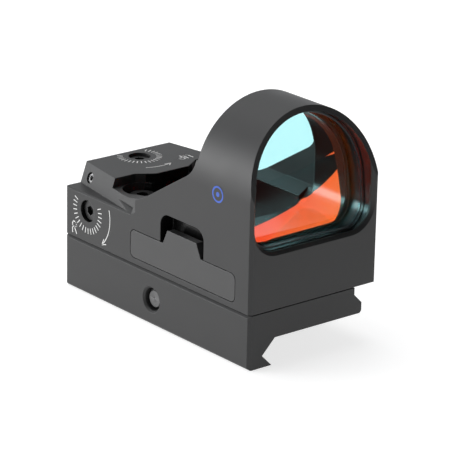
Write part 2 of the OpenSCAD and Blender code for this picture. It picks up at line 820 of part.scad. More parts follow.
// Nut on the elevation screw, with a groove on each side for the fork
module elevation_nut() color([0.70, 0.58, 0.30]) {
  groove = 0.4;
  core = 1.6;
  wing = 2.9;
  lock_wing = 4.1;                                // the lock screw presses on this one
  z0 = fork_z - 1.1;
  z1 = fork_z + 1.1;
  difference() {
    union() {
      block([-core, nut_y0, z0], [core, nut_y1, z1]);
      block([-wing, nut_y0, z0], [wing, nut_y1, fork_z - groove]);
      block([-lock_wing, nut_y0, fork_z + groove], [wing, nut_y1, z1]);
    }
    translate([0, elev_y, z0 - past]) cylinder(r = thread_r + running, h = z1 - z0 + 2 * past);
  }
}

// Fork, guide boss and upright for the light source
module emitter_holder() color([0.20, 0.20, 0.21]) {
  half_t = 0.35;
  z0 = fork_z - half_t;
  z1 = fork_z + half_t;
  leg = [2.15, 3.6];
  boss_r = 1.5;
  difference() {
    union() {
      both_sides() block([leg[0], nut_y0 - 0.5, z0], [leg[1], nut_y1, z1]);
      block([-leg[1], nut_y0 - 1.2, z0], [leg[1], nut_y0 - 0.1, z1]);
      block([-1.7, led_y, z0], [1.7, nut_y0 - 1, z1]);
      block([-1.5, led_y, z0], [1.5, led_y + 1, led_z + 1.1]);
      translate([0, post_y, z0]) cylinder(r = boss_r, h = 4 * half_t);
    }
    translate([0, post_y, z0 - past]) cylinder(r = post_r + running, h = 4 * half_t + 2 * past);
  }
}

// Points of one ring of wire, and the closed skin over all the rings
function coil_ring(r, wire, a, z, sides) =
  [for (i = [0 : sides - 1]) let (b = 360 * i / sides, p = r + wire * cos(b))
    [p * cos(a), p * sin(a), z + wire * sin(b)]];

module coil_spring(r, wire, height, turns, steps, sides) {
  rings = turns * steps;
  points = [for (k = [0 : rings])
    each coil_ring(r, wire, 360 * k / steps, wire + (height - 2 * wire) * k / rings, sides)];
  skin = [for (k = [0 : rings - 1], i = [0 : sides - 1])
    let (a = k * sides + i, b = k * sides + (i + 1) % sides) [a, b, b + sides, a + sides]];
  ends = [[for (i = [sides - 1 : -1 : 0]) i], [for (i = [0 : sides - 1]) rings * sides + i]];
  polyhedron(points, concat(skin, ends));
}

module elevation_spring() color("silver") {
  coil_r = 1.05;
  wire_r = 0.12;
  height = fork_z - 0.35 - slide_z1;
  translate([0, post_y, slide_z1]) coil_spring(coil_r, wire_r, height, turns = 3, steps = 20, sides = 6);
}

module led_emitter() color([0.90, 0.88, 0.80]) {
  half = 0.8;
  led_t = 0.45;
  block([-half, led_y - led_t, led_z - half], [half, led_y, led_z + half]);
  translate([0, led_y - led_t, led_z]) sphere(r = 0.32);
}

module emitter_window() color([0.30, 0.10, 0.10, 0.6]) {
  translate([0, tongue_y + 0.05, led_z]) rotate([-90, 0, 0])
    cylinder(r = beam_seat_r - running, h = beam_seat_t - 0.08);
}

// A headless screw standing on its tip, with a hex socket in its upper end
module set_screw(r, length, key) {
  c = 0.15;
  key_depth = 0.9;
  difference() {
    union() {
      cylinder(r = r, h = length - c);
      translate([0, 0, length - c - eps]) cylinder(r1 = r, r2 = r - c, h = c + eps);
    }
    translate([0, 0, length - key_depth]) cylinder(r = key, h = key_depth + past, $fn = 6);
  }
}

module elevation_lock_screw() color("silver") {
  sunk = 0.25;
  facet_frame() rotate([0, -90, 0]) translate([0, 0, -deck_lock_l])
    set_screw(deck_lock_r - snug, deck_lock_l - sunk, key = 0.52);
}

module windage_lock_screw() color("silver") {
  sunk = 0.3;
  y = wind_y + head_r + 0.2;
  translate([rear_lock_x, y, windage_z]) rotate([-90, 0, 0])
    set_screw(rear_lock_r - snug, rear_y - sunk - y, key = 0.45);
}

housing();
mount_base();
base_gasket();
locating_pins();
mounting_screws();
clamp_jaw();
clamp_screw();
clamp_washer();
lens_front();
lens_rear();
lens_seal();
battery_tray();
tray_seal();
coin_cell();
contact_positive();
contact_negative();
battery_flex();
circuit_board();
button_switch();
power_button();
windage_screw();
windage_clip();
windage_slide();
windage_guide_rod();
windage_lock_screw();
elevation_screw();
elevation_clip();
elevation_nut();
elevation_lock_screw();
adjuster_seals();
emitter_holder();
elevation_spring();
led_emitter();
emitter_window();
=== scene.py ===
# %% [markdown]
# # An open reflex sight on a rail clamp
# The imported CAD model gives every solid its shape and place. This file adds what CAD leaves out:
# anodised skin, printed dials, a mirror coat inside the lens, a studio to reflect in them, and the
# camera. The frame is in metres, with its origin on top of the rail, +X right when facing the lens, +Y
# to the rear.

# %% Load the frame
import math

import bpy
from mathutils import Matrix, Vector


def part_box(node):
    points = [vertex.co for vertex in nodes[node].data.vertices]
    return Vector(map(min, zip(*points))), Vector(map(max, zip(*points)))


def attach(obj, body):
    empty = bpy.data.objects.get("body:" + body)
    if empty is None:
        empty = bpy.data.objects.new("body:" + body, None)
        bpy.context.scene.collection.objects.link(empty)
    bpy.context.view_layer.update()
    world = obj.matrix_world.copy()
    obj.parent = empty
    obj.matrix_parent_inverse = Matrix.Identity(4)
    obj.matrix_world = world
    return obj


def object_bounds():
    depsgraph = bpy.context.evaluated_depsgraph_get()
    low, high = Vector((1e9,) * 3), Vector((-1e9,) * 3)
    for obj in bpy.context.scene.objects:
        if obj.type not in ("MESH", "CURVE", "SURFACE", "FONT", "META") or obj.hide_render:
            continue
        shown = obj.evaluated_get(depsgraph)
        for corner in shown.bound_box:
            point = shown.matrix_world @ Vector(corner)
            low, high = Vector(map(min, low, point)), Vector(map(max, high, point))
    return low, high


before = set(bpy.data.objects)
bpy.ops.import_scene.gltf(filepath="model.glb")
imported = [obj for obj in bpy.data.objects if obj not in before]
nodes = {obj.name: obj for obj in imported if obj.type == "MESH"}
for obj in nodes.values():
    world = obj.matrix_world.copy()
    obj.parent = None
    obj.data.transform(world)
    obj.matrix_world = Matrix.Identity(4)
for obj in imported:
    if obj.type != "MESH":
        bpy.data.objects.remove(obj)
cad_box = [list(corner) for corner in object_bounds()]
MM = 0.001
print(len(nodes), "CAD nodes, box in mm", [[round(v / MM, 1) for v in corner] for corner in cad_box])

# %% [markdown]
# ## Small helpers for shader trees
# Every finish below is a tree of shader nodes. Spelling out each node takes four lines of Python, so
# one helper adds a node with its settings and another joins sockets. The others read the object
# coordinates, and make or place a node group. Constants go straight on the node that uses them.

# %% Tree helpers
def add(tree, kind, **settings):
    """Adds a shader node. A setting is one of its attributes, or the name of one of its inputs."""
    made = tree.nodes.new("ShaderNode" + kind)
    for key, value in settings.items():
        if hasattr(made, key):
            setattr(made, key, value)
        else:
            made.inputs[key.replace("_", " ")].default_value = value
    return made


def wire(tree, *pairs):
    """Joins sockets, given as (from, to) pairs."""
    for source, target in pairs:
        tree.links.new(source, target)


def object_axes(tree):
    """The shaded point's X, Y and Z in the frame, in metres, each on its own output."""
    place = add(tree, "TexCoord")
    split = add(tree, "SeparateXYZ")
    wire(tree, (place.outputs["Object"], split.inputs[0]))
    return split.outputs


def new_group(name, inputs, outputs):
    """An empty node group with named sockets. Inputs are (name, value), outputs are (name, socket type)."""
    group = bpy.data.node_groups.new(name, "ShaderNodeTree")
    for label, value in inputs:
        socket = group.interface.new_socket(label, in_out="INPUT", socket_type="NodeSocketFloat")
        socket.default_value = value
    for label, kind in outputs:
        group.interface.new_socket(label, in_out="OUTPUT", socket_type="NodeSocket" + kind)
    return group, group.nodes.new("NodeGroupInput"), group.nodes.new("NodeGroupOutput")


def place_group(tree, group, **values):
    """Puts a group in a tree with its own values."""
    made = tree.nodes.new("ShaderNodeGroup")
    made.node_tree = group
    for key, value in values.items():
        made.inputs[key.replace("_", " ")].default_value = value
    return made


# %% [markdown]
# ## Effect: broken edges
# A machined edge is never perfectly sharp. It is tumbled or blasted to a tiny round, which catches the
# light as a thin line, and handling rubs the anodising there first. A bevel modifier would need clean
# topology, which a tessellated CAD mesh hasn't. The Bevel node rounds only the shading normal. Where
# that normal leaves the true one, there is an edge, so one dot product gives a wear mask as well.

# %% Broken edges
def broken_edges():
    group, given, out = new_group(
        "broken edges", [("Radius", 0.0001), ("Wear", 0.5)], [("Normal", "Vector"), ("Mask", "Float")]
    )
    bevel = add(group, "Bevel", samples=6)
    flat = add(group, "NewGeometry")
    turn = add(group, "VectorMath", operation="DOT_PRODUCT")
    edge = add(group, "MapRange", From_Min=0.995, From_Max=0.80, To_Min=0.0, To_Max=1.0)
    place = add(group, "TexCoord")
    patches = add(group, "TexNoise", Scale=900.0, Detail=4.0)
    broken = add(group, "MapRange", From_Min=0.35, From_Max=0.65)
    both = add(group, "Math", operation="MULTIPLY")
    worn = add(group, "Math", operation="MULTIPLY", use_clamp=True)
    wire(
        group,
        (given.outputs["Radius"], bevel.inputs["Radius"]),
        (bevel.outputs["Normal"], turn.inputs[0]),
        (flat.outputs["Normal"], turn.inputs[1]),
        (turn.outputs["Value"], edge.inputs["Value"]),
        (place.outputs["Object"], patches.inputs["Vector"]),
        (patches.outputs[0], broken.inputs["Value"]),
        (edge.outputs[0], both.inputs[0]),
        (broken.outputs[0], both.inputs[1]),
        (both.outputs[0], worn.inputs[0]),
        (given.outputs["Wear"], worn.inputs[1]),
        (bevel.outputs["Normal"], out.inputs["Normal"]),
        (worn.outputs[0], out.inputs["Mask"]),
    )
    return group


EDGES = broken_edges()
print("broken edges:", len(EDGES.nodes), "nodes")

# %% [markdown]
# ## Effect: blasted skin
# The body is bead blasted before it is anodised. Beads leave pits about a tenth of a millimetre wide,
# too small to see one by one, which spread the highlight and make the black look dark grey. Two noises
# do it: a fine one for the pits, and a slow one for the cloudy tone that the dye bath leaves. Object
# coordinates are in metres here, so a scale of 9000 is a pit about every tenth of a millimetre.

# %% Blasted skin
def blasted_skin():
    group, given, out = new_group(
        "blasted skin",
        [("Pit Scale", 9000.0), ("Roughness", 0.5), ("Roughness Spread", 0.1)],
        [("Height", "Float"), ("Tone", "Float"), ("Roughness", "Float")],
    )
    place = add(group, "TexCoord")
    pits = add(group, "TexNoise", Detail=3.0)
    clouds = add(group, "TexNoise", Scale=160.0, Detail=3.0)
    speck = add(group, "MapRange", From_Min=0.3, From_Max=0.7)
    mottle = add(group, "Math", operation="MULTIPLY_ADD")
    mottle.inputs[1].default_value = 0.35
    spread = add(group, "Math", operation="SUBTRACT")
    spread.inputs[1].default_value = 0.5
    rough = add(group, "Math", operation="MULTIPLY_ADD", use_clamp=True)
    wire(
        group,
        (place.outputs["Object"], pits.inputs["Vector"]),
        (place.outputs["Object"], clouds.inputs["Vector"]),
        (given.outputs["Pit Scale"], pits.inputs["Scale"]),
        (pits.outputs[0], speck.inputs["Value"]),
        (speck.outputs[0], mottle.inputs[0]),
        (clouds.outputs[0], mottle.inputs[2]),
        (mottle.outputs[0], spread.inputs[0]),
        (spread.outputs[0], rough.inputs[0]),
        (given.outputs["Roughness Spread"], rough.inputs[1]),
        (given.outputs["Roughness"], rough.inputs[2]),
        (pits.outputs[0], out.inputs["Height"]),
        (mottle.outputs[0], out.inputs["Tone"]),
        (rough.outputs[0], out.inputs["Roughness"]),
    )
    return group


SKIN = blasted_skin()
print("blasted skin:", len(SKIN.nodes), "nodes")

# %% [markdown]
# ## Effect: turning marks
# Screws, washers and pins are turned, so fine rings run round their axis. The distance from that axis
# is the only input of a noise, which gives rings of uneven depth. The axis differs from piece to piece,
# so the material passes the axis's place, and picks which two coordinates lie across it.

# %% Turning marks
def off_axis(group, given):
    """How far a point lies from the axis, across it and up, as two outputs."""
    ways = []
    for label in ("Across", "Up"):
        way = add(group, "Math", operation="SUBTRACT")
        centre = given.outputs["Centre " + label]
        wire(group, (given.outputs[label], way.inputs[0]), (centre, way.inputs[1]))
        ways.append(way.outputs[0])
    return ways


def turning_marks():
    group, given, out = new_group(
        "turning marks",
        [("Across", 0.0), ("Up", 0.0), ("Centre Across", 0.0), ("Centre Up", 0.0), ("Ring Scale", 9000.0)],
        [("Height", "Float")],
    )
    across, up = off_axis(group, given)
    flat = add(group, "CombineXYZ")
    radius = add(group, "VectorMath", operation="LENGTH")
    rings = add(group, "TexNoise", noise_dimensions="1D", Detail=2.0)
    wire(
        group,
        (across, flat.inputs["X"]),
        (up, flat.inputs["Y"]),
        (flat.outputs[0], radius.inputs[0]),
        (radius.outputs["Value"], rings.inputs["W"]),
        (given.outputs["Ring Scale"], rings.inputs["Scale"]),
        (rings.outputs[0], out.inputs["Height"]),
    )
    return group


RINGS = turning_marks()
print("turning marks:", len(RINGS.nodes), "nodes")

# %% [markdown]
# ## Effect: screw thread
# The CAD screws are plain cylinders, because a thread would only slow the physics down. A thread is a
# height that rises once along the axis for each pitch and once round it for each turn, so the group
# adds the angle to the distance along the axis and folds the sum into a triangle wave.

# %% Screw thread
def screw_thread():
    group, given, out = new_group(
        "screw thread",
        [("Along", 0.0), ("Across", 0.0), ("Up", 0.0), ("Centre Across", 0.0), ("Centre Up", 0.0),
         ("Pitch", 0.0005)],
        [("Height", "Float")],
    )
    across, up = off_axis(group, given)
    angle = add(group, "Math", operation="ARCTAN2")
    turns = add(group, "Math", operation="MULTIPLY")
    turns.inputs[1].default_value = 1 / (2 * math.pi)
    pitches = add(group, "Math", operation="DIVIDE")
    total = add(group, "Math", operation="ADD")
    wave = add(group, "Math", operation="PINGPONG")
    wave.inputs[1].default_value = 0.5
    wire(
        group,
        (across, angle.inputs[0]),
        (up, angle.inputs[1]),
        (angle.outputs[0], turns.inputs[0]),
        (given.outputs["Along"], pitches.inputs[0]),
        (given.outputs["Pitch"], pitches.inputs[1]),
        (turns.outputs[0], total.inputs[0]),
        (pitches.outputs[0], total.inputs[1]),
        (total.outputs[0], wave.inputs[0]),
        (wave.outputs[0], out.inputs["Height"]),
    )
    return group


THREAD = screw_thread()
print("effect groups:", [g.name for g in bpy.data.node_groups])

# %% [markdown]
# ## Base of every finish
# Each finish is one Principled shader with blasted skin and broken edges. The function returns the
# material with the ends that a finish may still use, so that threads, rings or paint can be added to it
# afterwards.

# %% Finish builder
def colour(red, green, blue):
    return (red, green, blue, 1.0)


def finish(name, dark, light, worn, metallic=0.0, roughness=0.5, spread=0.1, pit=9000.0, bump=0.1,
           bump_mm=0.01, edge_mm=0.08, wear=0.5, **plain):
    """A material with skin, edges and colour variation. Plain values go on the shader's own sockets."""
    made = bpy.data.materials.new(name)
    made.use_nodes = True
    tree = made.node_tree
    shader = tree.nodes["Principled BSDF"]
    for key, value in plain.items():
        shader.inputs[key.replace("_", " ")].default_value = value
    shader.inputs["Metallic"].default_value = metallic
    skin = place_group(tree, SKIN, Pit_Scale=pit, Roughness=roughness, Roughness_Spread=spread)
    edges = place_group(tree, EDGES, Radius=edge_mm * MM, Wear=wear)
    tone = add(tree, "Mix", data_type="RGBA")
    rubbed = add(tree, "Mix", data_type="RGBA")
    relief = add(tree, "Bump", Strength=bump, Distance=bump_mm * MM)
    tone.inputs[6].default_value = dark
    tone.inputs[7].default_value = light
    rubbed.inputs[7].default_value = worn
    wire(
        tree,
        (skin.outputs["Tone"], tone.inputs[0]),
        (tone.outputs[2], rubbed.inputs[6]),
        (edges.outputs["Mask"], rubbed.inputs[0]),
        (rubbed.outputs[2], shader.inputs["Base Color"]),
        (skin.outputs["Roughness"], shader.inputs["Roughness"]),
        (skin.outputs["Height"], relief.inputs["Height"]),
        (edges.outputs["Normal"], relief.inputs["Normal"]),
        (relief.outputs["Normal"], shader.inputs["Normal"]),
    )
    return made, tree, shader, relief, skin


def add_relief(tree, relief, height, strength, depth_mm):
    """Stacks a second bump on the first."""
    shader = tree.nodes["Principled BSDF"]
    second = add(tree, "Bump", Strength=strength, Distance=depth_mm * MM)
    wire(
        tree,
        (height, second.inputs["Height"]),
        (relief.outputs["Normal"], second.inputs["Normal"]),
        (second.outputs["Normal"], shader.inputs["Normal"]),
    )


def dress(material, *names):
    """Gives a material to CAD nodes."""
    for name in names:
        nodes[name].data.materials.clear()
        nodes[name].data.materials.append(material)
    print(material.name, "on", ", ".join(names))


# %% [markdown]
# ## Anodised aluminium
# Housing, mount and loose jaw are blasted and dyed black. Under soft light such a skin reads as dark
# grey with a wide, weak highlight, so it is a dielectric with a high roughness rather than a metal. The
# dye fades where an edge is rubbed. The tray is a separate part from another batch, drawn with a finer
# abrasive, so it is a little lighter and smoother.

# %% Anodised parts
body_skin, body_tree, body_shader, _, body_grain = finish(
    "body anodise", colour(0.012, 0.012, 0.0125), colour(0.024, 0.024, 0.0245), colour(0.11, 0.11, 0.11),
    roughness=0.46, spread=0.14, pit=11000.0, bump=0.22, bump_mm=0.012, edge_mm=0.16, wear=0.5, IOR=1.5,
)
mount_skin = finish(
    "mount anodise", colour(0.012, 0.012, 0.0125), colour(0.023, 0.023, 0.0235), colour(0.11, 0.11, 0.11),
    roughness=0.48, spread=0.12, pit=11000.0, bump=0.22, bump_mm=0.012, edge_mm=0.16, wear=0.5, IOR=1.5,
)[0]
tray_skin = finish(
    "tray anodise", colour(0.018, 0.018, 0.0185), colour(0.030, 0.030, 0.0305), colour(0.18, 0.18, 0.18),
    roughness=0.42, spread=0.1, pit=14000.0, bump=0.15, bump_mm=0.01, edge_mm=0.12, wear=0.9, IOR=1.6,
)[0]
dress(body_skin, "housing")
dress(mount_skin, "mount_base", "clamp_jaw")
dress(tray_skin, "battery_tray")

# %% [markdown]
# ## Painted shade inside
# The tube in front of and behind the lens, the trough to the light source, the finger notch and the
# side adjuster's hole are recesses where shade falls, and that shade is painted: a near-black colour
# with a glossy finish is mixed in there. They belong to the same solid as the outer skin. Each is a
# box in the sight's frame, and the hood's round top is a cylinder, so a mask that is 1 inside any of
# them mixes in the painted shade.

# %% Sizes of the body
body_low, body_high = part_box("housing")
HALF_W = body_high.x / MM
FRONT_Y = body_low.y / MM
HOOD_Z = body_high.z / MM - HALF_W
WALL = 1.0
WINDOW_R = HALF_W - WALL
WINDOW_Z = 14.7
DECK_Z = 17.1
print("body half width", round(HALF_W, 2), "mm, centre of the hood at", round(HOOD_Z, 2), "mm")

# %% Painted shade inside
SKIN_LEFT = 0.08  # the outer skin keeps its own finish this deep
SHADE_PAST = 0.06  # the painted shade's boxes reach this far into the walls
HOOD_SHADE_Y = (FRONT_Y + 0.8, FRONT_Y + 14.7)
LEFT_SKIN_X = -HALF_W + SKIN_LEFT
HALF_WINDOW = WINDOW_R + SHADE_PAST
# the recesses that get painted shade, as boxes in mm
SHADED_RECESSES = {
    "window": ((-HALF_WINDOW, FRONT_Y + 1.0, WINDOW_Z - 0.04), (HALF_WINDOW, HOOD_SHADE_Y[1], HOOD_Z)),
    "trough": ((-10.3, -10.4, 11.9), (10.3, 13.5, DECK_Z - 0.15)),
    "finger notch": ((LEFT_SKIN_X, -13.2, 6.2), (-9.0, -1.2, 16.2)),
    "adjuster hole": ((LEFT_SKIN_X, 16.8, 8.5), (-10.0, 20.8, 12.5)),
}


def box_mask(tree, boxes):
    """1 inside any of the boxes, given in mm, and 0 outside them."""
    place = add(tree, "TexCoord")
    total = None
    for low, high in boxes:
        middle = add(tree, "VectorMath", operation="SUBTRACT")
        middle.inputs[1].default_value = [(a + b) / 2 * MM for a, b in zip(low, high)]
        reach = add(tree, "VectorMath", operation="ABSOLUTE")
        left = add(tree, "VectorMath", operation="SUBTRACT")
        left.inputs[0].default_value = [(b - a) / 2 * MM for a, b in zip(low, high)]
        split = add(tree, "SeparateXYZ")
        nearer = add(tree, "Math", operation="MINIMUM")
        nearest = add(tree, "Math", operation="MINIMUM")
        inside = add(tree, "Math", operation="GREATER_THAN")
        inside.inputs[1].default_value = 0
        wire(
            tree,
            (place.outputs["Object"], middle.inputs[0]),
            (middle.outputs[0], reach.inputs[0]),
            (reach.outputs[0], left.inputs[1]),
            (left.outputs[0], split.inputs[0]),
            (split.outputs["X"], nearer.inputs[0]),
            (split.outputs["Y"], nearer.inputs[1]),
            (nearer.outputs[0], nearest.inputs[0]),
            (split.outputs["Z"], nearest.inputs[1]),
            (nearest.outputs[0], inside.inputs[0]),
        )
        if total:
            either = add(tree, "Math", operation="MAXIMUM")
            wire(tree, (total, either.inputs[0]), (inside.outputs[0], either.inputs[1]))
            total = either.outputs[0]
        else:
            total = inside.outputs[0]
    return total


def round_mask(tree, centre_z, radius, y_range):
    """1 inside a cylinder along Y, given in mm, and 0 outside it."""
    axes = object_axes(tree)
    height = add(tree, "Math", operation="SUBTRACT")
    height.inputs[1].default_value = centre_z * MM
    flat = add(tree, "CombineXYZ")
    reach = add(tree, "VectorMath", operation="LENGTH")
    within = add(tree, "Math", operation="LESS_THAN")
    within.inputs[1].default_value = radius * MM
    span = add(tree, "Math", operation="COMPARE")
    span.inputs[1].default_value = sum(y_range) / 2 * MM
    span.inputs[2].default_value = (y_range[1] - y_range[0]) / 2 * MM
    both = add(tree, "Math", operation="MULTIPLY")
    wire(
        tree,
        (axes["Z"], height.inputs[0]),
        (axes["X"], flat.inputs["X"]),
        (height.outputs[0], flat.inputs["Y"]),
        (flat.outputs[0], reach.inputs[0]),
        (reach.outputs["Value"], within.inputs[0]),
        (axes["Y"], span.inputs[0]),
        (within.outputs[0], both.inputs[0]),
        (span.outputs[0], both.inputs[1]),
    )
    return both.outputs[0]


# painted shade: the mask covers the recesses, and a near-black colour stands in for the shadow in them
boxes_mask = box_mask(body_tree, SHADED_RECESSES.values())
hood_shade_mask = round_mask(body_tree, HOOD_Z, WINDOW_R + 0.1, HOOD_SHADE_Y)
any_mask = add(body_tree, "Math", operation="MAXIMUM")
wire(body_tree, (boxes_mask, any_mask.inputs[0]), (hood_shade_mask, any_mask.inputs[1]))
shade_mask = any_mask.outputs[0]
# painted shade colour, mixed in over the skin's own colour, with a lower roughness
painted = add(body_tree, "Mix", data_type="RGBA")
painted.inputs[7].default_value = colour(0.004, 0.004, 0.004)
sleek = add(body_tree, "Mix")
sleek.inputs[3].default_value = 0.26
wire(
    body_tree,
    (shade_mask, painted.inputs[0]),
    (body_shader.inputs["Base Color"].links[0].from_socket, painted.inputs[6]),
    (painted.outputs[2], body_shader.inputs["Base Color"]),
    (shade_mask, sleek.inputs[0]),
    (body_grain.outputs["Roughness"], sleek.inputs[2]),
    (sleek.outputs[0], body_shader.inputs["Roughness"]),
)
print("painted black inside: hood,", ", ".join(SHADED_RECESSES))

# %% [markdown]
# ## Screws, clips and pins
# Steel pieces differ in treatment: the washer, the pins, the spring and the lock screws are bright, the
# clips are duller, and the clamp screw, the adjusters and the two housing screws are blackened. The
# clamp screw and the rear lock screw show their threads, and the others carry fine rings. Each piece's
# own axis comes from its box in the frame, so nothing has to be typed in twice.

# %% Steel
AXES = {"X": ("Y", "Z"), "Y": ("X", "Z"), "Z": ("X", "Y")}
THREAD_DEPTH = 0.45  # share of the pitch
RING_DEPTH_MM = 0.02


def axis_values(tree, group_node, node, along):
    """Feeds a ring or thread group with the coordinates across a piece's axis."""
    low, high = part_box(node)
    centre = (low + high) / 2
    axes = object_axes(tree)
    across, up = AXES[along]
    group_node.inputs["Centre Across"].default_value = centre["XYZ".index(across)]
    group_node.inputs["Centre Up"].default_value = centre["XYZ".index(up)]
    wire(tree, (axes[across], group_node.inputs["Across"]), (axes[up], group_node.inputs["Up"]))
    if "Along" in group_node.inputs:
        wire(tree, (axes[along], group_node.inputs["Along"]))


def steel(node, along, dark=0.42, light=0.62, pitch_mm=None, **settings):
    """A turned steel finish for one CAD node, threaded if it has a pitch."""
    values = dict(metallic=1.0, roughness=0.3, spread=0.12, pit=6000.0, bump=0.12, edge_mm=0.05, wear=0.4)
    values.update(settings)
    made, tree, _, relief, _ = finish(
        node.replace("_", " ") + " steel",
        colour(dark, dark, dark * 1.01), colour(light, light, light * 1.01),
        colour(0.8, 0.8, 0.8), **values,
    )
    if pitch_mm:
        marks = place_group(tree, THREAD, Pitch=pitch_mm * MM)
        strength, depth_mm = 0.9, pitch_mm * THREAD_DEPTH
    else:
        marks = place_group(tree, RINGS)
        strength, depth_mm = 0.35, RING_DEPTH_MM
    axis_values(tree, marks, node, along)
    add_relief(tree, relief, marks.outputs["Height"], strength, depth_mm)
    dress(made, node)


steel("clamp_screw", "X", dark=0.09, light=0.18, pitch_mm=0.7, roughness=0.40)
steel("clamp_washer", "X")
steel("windage_clip", "X", dark=0.3, light=0.45)
steel("elevation_clip", "Z", dark=0.3, light=0.45)
steel("windage_guide_rod", "X")
steel("elevation_spring", "Z")
steel("locating_pins", "Z")
steel("elevation_lock_screw", "X", dark=0.20, light=0.34, roughness=0.34)
steel("windage_lock_screw", "Y", pitch_mm=0.35)
steel("windage_screw", "X", dark=0.05, light=0.10, roughness=0.34)
steel("elevation_screw", "Z", dark=0.05, light=0.10, roughness=0.34)
steel("mounting_screws", "Z", dark=0.035, light=0.07, roughness=0.36)
print("steel finishes:", sum(m.name.endswith(" steel") for m in bpy.data.materials))

# %% [markdown]
# ## Brass, contacts and the cell
# Slide and nut are turned brass. The contacts are bronze strip with a thin gold plate, which is
# smoother and redder. The cell's can is nickel, polished by the press, with a raised plus sign for its
# pole.

# %% Brass and nickel
brass = finish("turned brass", colour(0.42, 0.29, 0.10), colour(0.60, 0.44, 0.17), colour(0.85, 0.68, 0.35),
               metallic=1.0, roughness=0.32, spread=0.1, pit=5000.0, edge_mm=0.05)[0]
dress(brass, "windage_slide", "elevation_nut")
gold = finish("plated contact", colour(0.62, 0.40, 0.12), colour(0.80, 0.56, 0.20),
              colour(0.75, 0.42, 0.20), metallic=1.0, roughness=0.22, spread=0.08, pit=5000.0,
              edge_mm=0.03)[0]
dress(gold, "contact_positive", "contact_negative")


def plus_sign(tree, centre, arm_mm, half_mm):
    """A mask that is 1 on a plus sign in the X and Y plane, and 0 around it."""
    axes = object_axes(tree)
    bars = []
    for long_axis, short_axis in (("X", "Y"), ("Y", "X")):
        tests = []
        for axis, limit in ((long_axis, arm_mm), (short_axis, half_mm)):
            inside = add(tree, "Math", operation="COMPARE")
            inside.inputs[1].default_value = centre["XYZ".index(axis)]
            inside.inputs[2].default_value = limit * MM
            wire(tree, (axes[axis], inside.inputs[0]))
            tests.append(inside)
        both = add(tree, "Math", operation="MULTIPLY")
        wire(tree, (tests[0].outputs[0], both.inputs[0]), (tests[1].outputs[0], both.inputs[1]))
        bars.append(both)
    either = add(tree, "Math", operation="MAXIMUM")
    wire(tree, (bars[0].outputs[0], either.inputs[0]), (bars[1].outputs[0], either.inputs[1]))
    return either.outputs[0]


PLUS_ARM, PLUS_HALF_WIDTH, PLUS_RELIEF = 2.6, 0.45, 0.12
cell_low, cell_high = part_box("coin_cell")
cell_middle = (cell_low + cell_high) / 2
can, can_tree, _, can_relief, _ = finish(
    "nickel can", colour(0.55, 0.55, 0.53), colour(0.70, 0.70, 0.68), colour(0.85, 0.85, 0.85),
    metallic=1.0, roughness=0.2, spread=0.1, pit=4000.0, edge_mm=0.15,
)
plus_mask = plus_sign(can_tree, cell_middle, PLUS_ARM, PLUS_HALF_WIDTH)
add_relief(can_tree, can_relief, plus_mask, 0.6, PLUS_RELIEF)
dress(can, "coin_cell")

# %% [markdown]
# ## Rubber, plastic and film
# Gaskets and the button are moulded rubber, almost black and quite rough. The light source's holder and
# the switch are moulded plastic, and the strip to the board is amber film.

# %% Rubber and plastic
rubber = finish("moulded rubber", colour(0.010, 0.010, 0.010), colour(0.024, 0.024, 0.024),
                colour(0.03, 0.03, 0.03), roughness=0.72, spread=0.15, pit=7000.0, bump=0.3, edge_mm=0.1)[0]
dress(rubber, "base_gasket", "tray_seal", "adjuster_seals", "power_button", "lens_seal")
plastic = finish("moulded plastic", colour(0.012, 0.012, 0.013), colour(0.026, 0.026, 0.027),
                 colour(0.05, 0.05, 0.05), roughness=0.55, pit=6000.0, edge_mm=0.05)[0]
dress(plastic, "button_switch", "emitter_holder")
amber = finish("amber film", colour(0.30, 0.11, 0.015), colour(0.46, 0.20, 0.03), colour(0.5, 0.25, 0.05),
               roughness=0.25, spread=0.06, pit=3000.0, edge_mm=0.02, Coat_Weight=0.4)[0]
dress(amber, "battery_flex")
ceramic = finish("pale ceramic", colour(0.62, 0.58, 0.48), colour(0.78, 0.75, 0.64), colour(0.8, 0.8, 0.7),
                 roughness=0.4, pit=8000.0, edge_mm=0.03, Coat_Weight=0.3)[0]
dress(ceramic, "led_emitter")

# %% [markdown]
# ## Circuit board
# Solder mask lies over copper tracks, which show through it as lighter green lines with a small step. A
# brick pattern with thin mortar gives straight tracks that turn at right angles, and its mask also
# raises them.

# %% Circuit board
mask_green, board_tree, board_shader, board_relief, _ = finish(
    "solder mask", colour(0.006, 0.060, 0.022), colour(0.010, 0.085, 0.032), colour(0.25, 0.22, 0.12),
    roughness=0.3, spread=0.08, pit=5000.0, edge_mm=0.04, Coat_Weight=0.3,
)
board_place = add(board_tree, "TexCoord")
tracks = add(board_tree, "TexBrick", Scale=600.0, Mortar_Size=0.06, Mortar_Smooth=0.1, Brick_Width=0.9,
             Row_Height=0.35)
over_copper = add(board_tree, "Mix", data_type="RGBA")
over_copper.inputs[7].default_value = colour(0.03, 0.20, 0.07)
wire(
    board_tree,
    (board_place.outputs["Object"], tracks.inputs["Vector"]),
    (tracks.outputs["Fac"], over_copper.inputs[0]),
    (board_shader.inputs["Base Color"].links[0].from_socket, over_copper.inputs[6]),
    (over_copper.outputs[2], board_shader.inputs["Base Color"]),
)
add_relief(board_tree, board_relief, tracks.outputs["Fac"], 0.4, 0.03)
dress(mask_green, "circuit_board")

# %% [markdown]
# ## Clear glass
# The lens is two thin curved shells cemented together, so it hardly bends what is seen through it. A
# Principled glass would refract at all four faces, and where the two shells touch the faces coincide.
# Instead each face passes light straight on with a faint tint, and adds the weak teal sheen of an
# antireflection coat. Its strength follows Layer Weight's facing and not Fresnel, which would turn
# every face met from inside at a flat angle into a full mirror, although the light isn't bent here.

# %% Clear glass
HEAD_ON = 0.035  # share that even a face met head on throws back
STEEPNESS = 5


